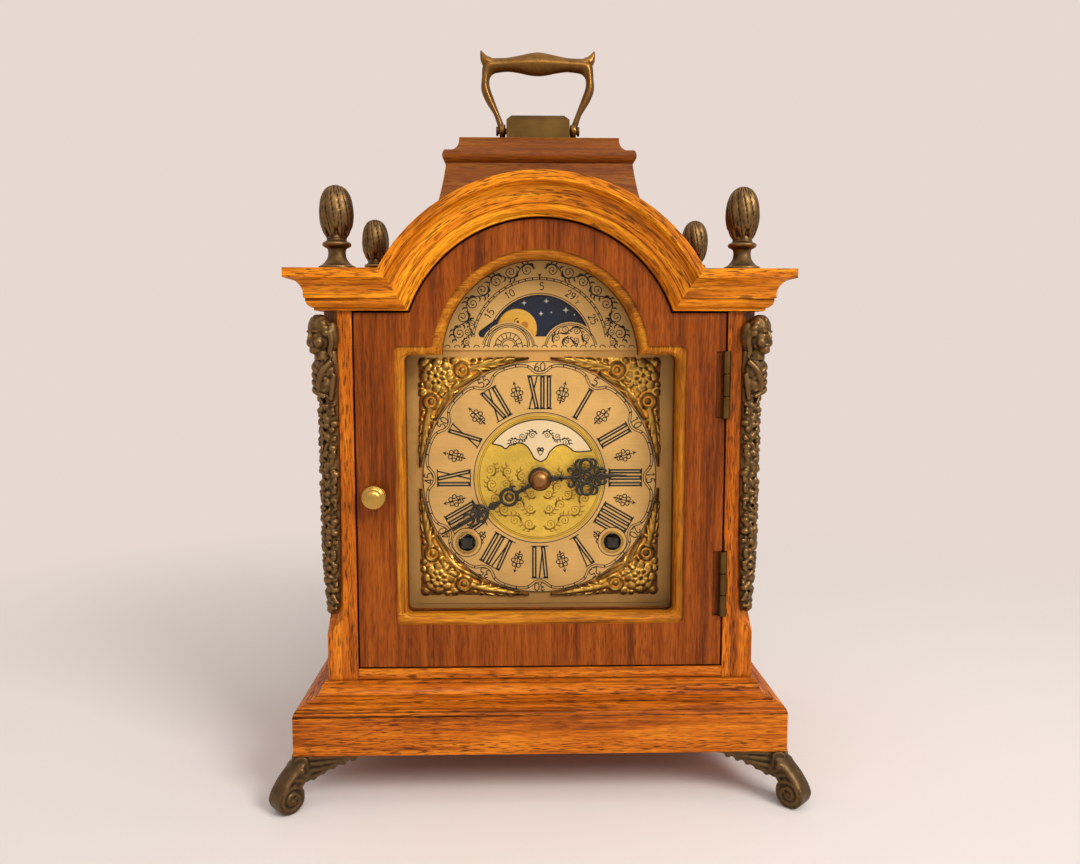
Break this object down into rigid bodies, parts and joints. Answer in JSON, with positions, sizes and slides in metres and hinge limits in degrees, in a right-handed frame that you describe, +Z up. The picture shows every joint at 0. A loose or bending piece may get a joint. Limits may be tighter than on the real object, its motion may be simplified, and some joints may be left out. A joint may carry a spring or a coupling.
{
  "type": "table clock",
  "caption": "Oak table clock with arched glazed door, moon-phase dial, pierced hands, brass corner mounts, finials, scroll feet and a swinging carrying handle on a caddy top.",
  "frame": {"origin": "on the table under the middle of the plinth, at the soles of the feet", "axes": "+X to the right seen from the front, +Y to the back, +Z up; the dial faces -Y"},
  "size_m": [0.2144, 0.1432, 0.3111],
  "materials": {
    "lacquered_oak": "semi-gloss lacquer over open-pored oak",
    "door_veneer": "semi-gloss lacquer over upright-grain veneer",
    "cast_brass": "cast and darkened",
    "handle_brass": "cast, worn bright on the edges",
    "drawn_brass": "drawn and turned, satin",
    "gilt_brass": "gilt, matted ground",
    "silvered_brass": "brushed round and lacquered",
    "moon_enamel": "deep blue paint",
    "blackened_steel": "blackened and waxed",
    "hand_nut_brass": "polished",
    "movement_brass": "milled and lacquered",
    "arbor_steel": "turned",
    "bell_metal": "turned bright",
    "window_glass": "clear float"
  },
  "bodies": {
    "case": {"plinth": "lacquered_oak", "bottom_board": "lacquered_oak", "side_left": "lacquered_oak", "side_right": "lacquered_oak", "stile_left": "lacquered_oak", "stile_right": "lacquered_oak", "arch_frame": "lacquered_oak", "roof": "lacquered_oak", "back_arch": "lacquered_oak", "cornice_arch": "lacquered_oak", "cornice_shoulders": "lacquered_oak", "caddy_skirt": "lacquered_oak", "caddy_cap": "lacquered_oak", "dial_battens": "lacquered_oak", "finials": "cast_brass", "handle_block": "cast_brass", "foot_front_left": "cast_brass", "foot_front_right": "cast_brass", "foot_back_left": "cast_brass", "foot_back_right": "cast_brass", "corner_mount_left": "cast_brass", "corner_mount_right": "cast_brass", "case_hinge_leaves": "drawn_brass", "hinge_pins": "drawn_brass", "dial_plate": "gilt_brass", "arch_plate": "gilt_brass", "centre_disc": "gilt_brass", "spandrels": "gilt_brass", "winding_bushes": "gilt_brass", "chapter_ring": "silvered_brass", "front_plate": "movement_brass", "back_plate": "movement_brass", "movement_pillars": "movement_brass", "escapement_frame": "movement_brass", "bell_stand": "movement_brass", "bell": "bell_metal"},
    "front_door": {"door_frame": "door_veneer", "door_glass": "window_glass", "door_bead": "lacquered_oak", "door_knob": "drawn_brass", "door_hinge_leaves": "drawn_brass"},
    "rear_door": {"rear_door": "door_veneer", "rear_door_knob": "drawn_brass", "rear_door_hinge_leaves": "drawn_brass"},
    "handle": {"handle": "handle_brass"},
    "minute_work": {"centre_arbor": "arbor_steel", "minute_hand": "blackened_steel", "hand_nut": "hand_nut_brass"},
    "hour_work": {"hour_wheel": "movement_brass", "hour_hand": "blackened_steel"},
    "minute_wheel": {"minute_wheel": "movement_brass"},
    "moon": {"moon_disc": "moon_enamel"},
    "intermediate": {"intermediate_wheel": "movement_brass"},
    "third": {"third_wheel": "movement_brass"},
    "time_barrel": {"time_barrel": "movement_brass"},
    "strike_barrel": {"strike_barrel": "movement_brass"},
    "time_winding": {"time_winding_arbor": "arbor_steel"},
    "strike_winding": {"strike_winding_arbor": "arbor_steel"},
    "balance": {"balance_wheel": "movement_brass"},
    "hammer": {"hammer": "arbor_steel"}
  },
  "joints": [
    {"name": "front_door_swing", "type": "hinge", "parent": "case", "child": "front_door", "pos_m": [0.0732, -0.051, 0.1268], "axis": [0, 0, 1], "range_deg": [0, 110]},
    {"name": "rear_door_swing", "type": "hinge", "parent": "case", "child": "rear_door", "pos_m": [0.0732, 0.063, 0.1268], "axis": [0, 0, -1], "range_deg": [0, 110]},
    {"name": "handle_swing", "type": "hinge", "parent": "case", "child": "handle", "pos_m": [0, 0.006, 0.2763], "axis": [1, 0, 0], "range_deg": [-85, 85]},
    {"name": "minute_turn", "type": "hinge", "parent": "case", "child": "minute_work", "pos_m": [0, -0.0365, 0.1268], "axis": [0, 1, 0], "continuous": true},
    {"name": "hour_turn", "type": "hinge", "parent": "case", "child": "hour_work", "pos_m": [0, -0.034, 0.1268], "axis": [0, 1, 0], "continuous": true},
    {"name": "minute_wheel_turn", "type": "hinge", "parent": "case", "child": "minute_wheel", "pos_m": [0.01247, -0.022, 0.1196], "axis": [0, 1, 0], "continuous": true},
    {"name": "moon_turn", "type": "hinge", "parent": "case", "child": "moon", "pos_m": [0, -0.0272, 0.1815], "axis": [0, 1, 0], "continuous": true},
    {"name": "intermediate_turn", "type": "hinge", "parent": "case", "child": "intermediate", "pos_m": [-0.0155, 0.01, 0.11846], "axis": [0, 1, 0], "continuous": true},
    {"name": "third_turn", "type": "hinge", "parent": "case", "child": "third", "pos_m": [0.01125, 0.005, 0.14021], "axis": [0, 1, 0], "continuous": true},
    {"name": "time_barrel_turn", "type": "hinge", "parent": "case", "child": "time_barrel", "pos_m": [-0.0306, 0, 0.0996], "axis": [0, 1, 0], "continuous": true},
    {"name": "strike_barrel_turn", "type": "hinge", "parent": "case", "child": "strike_barrel", "pos_m": [0.0306, 0, 0.0996], "axis": [0, 1, 0], "continuous": true},
    {"name": "time_winding_turn", "type": "hinge", "parent": "case", "child": "time_winding", "pos_m": [-0.0306, -0.03, 0.0996], "axis": [0, 1, 0], "range_deg": [0, 2520]},
    {"name": "strike_winding_turn", "type": "hinge", "parent": "case", "child": "strike_winding", "pos_m": [0.0306, -0.03, 0.0996], "axis": [0, 1, 0], "range_deg": [0, 2520]},
    {"name": "balance_swing", "type": "hinge", "parent": "case", "child": "balance", "pos_m": [-0.025, 0.026, 0.1488], "axis": [0, 1, 0], "range_deg": [-140, 140], "stiffness_Nm_per_rad": 0.00003},
    {"name": "hammer_swing", "type": "hinge", "parent": "case", "child": "hammer", "pos_m": [0.03, 0.023, 0.1308], "axis": [0, 1, 0], "range_deg": [-1.2, 12], "stiffness_Nm_per_rad": 0.02}
  ],
  "couplings": [
    {"joint": "hour_turn", "follows": "minute_turn", "ratio": 0.083333},
    {"joint": "minute_wheel_turn", "follows": "minute_turn", "ratio": -0.33333},
    {"joint": "moon_turn", "follows": "minute_turn", "ratio": 0.00070621},
    {"joint": "intermediate_turn", "follows": "minute_turn", "ratio": -0.20833},
    {"joint": "third_turn", "follows": "minute_turn", "ratio": -6},
    {"joint": "time_barrel_turn", "follows": "minute_turn", "ratio": 0.052083}
  ]
}
